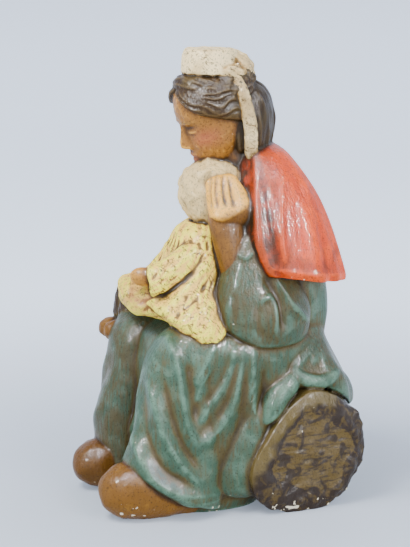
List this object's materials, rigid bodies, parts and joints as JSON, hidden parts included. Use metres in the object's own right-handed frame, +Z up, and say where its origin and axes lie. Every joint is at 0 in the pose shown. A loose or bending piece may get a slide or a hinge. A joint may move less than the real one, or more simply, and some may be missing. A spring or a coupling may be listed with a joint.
{
  "type": "plaster figure",
  "caption": "Painted plaster statuette of a seated mother in a cap and short cape, on a log, holding a child on her lap.",
  "frame": {"origin": "centre of the bounding box, on the plane that the figure stands on", "axes": "+Z up, the mother faces -Y, and her left side, with the arm that holds the child's head, is towards +X"},
  "size_m": [0.108, 0.149, 0.24],
  "materials": {
    "painted_plaster": "hand-painted plaster with worn satin varnish and brown patina in the folds"
  },
  "bodies": {
    "root": {"mother_and_child_figure": "painted_plaster"}
  },
  "joints": []
}
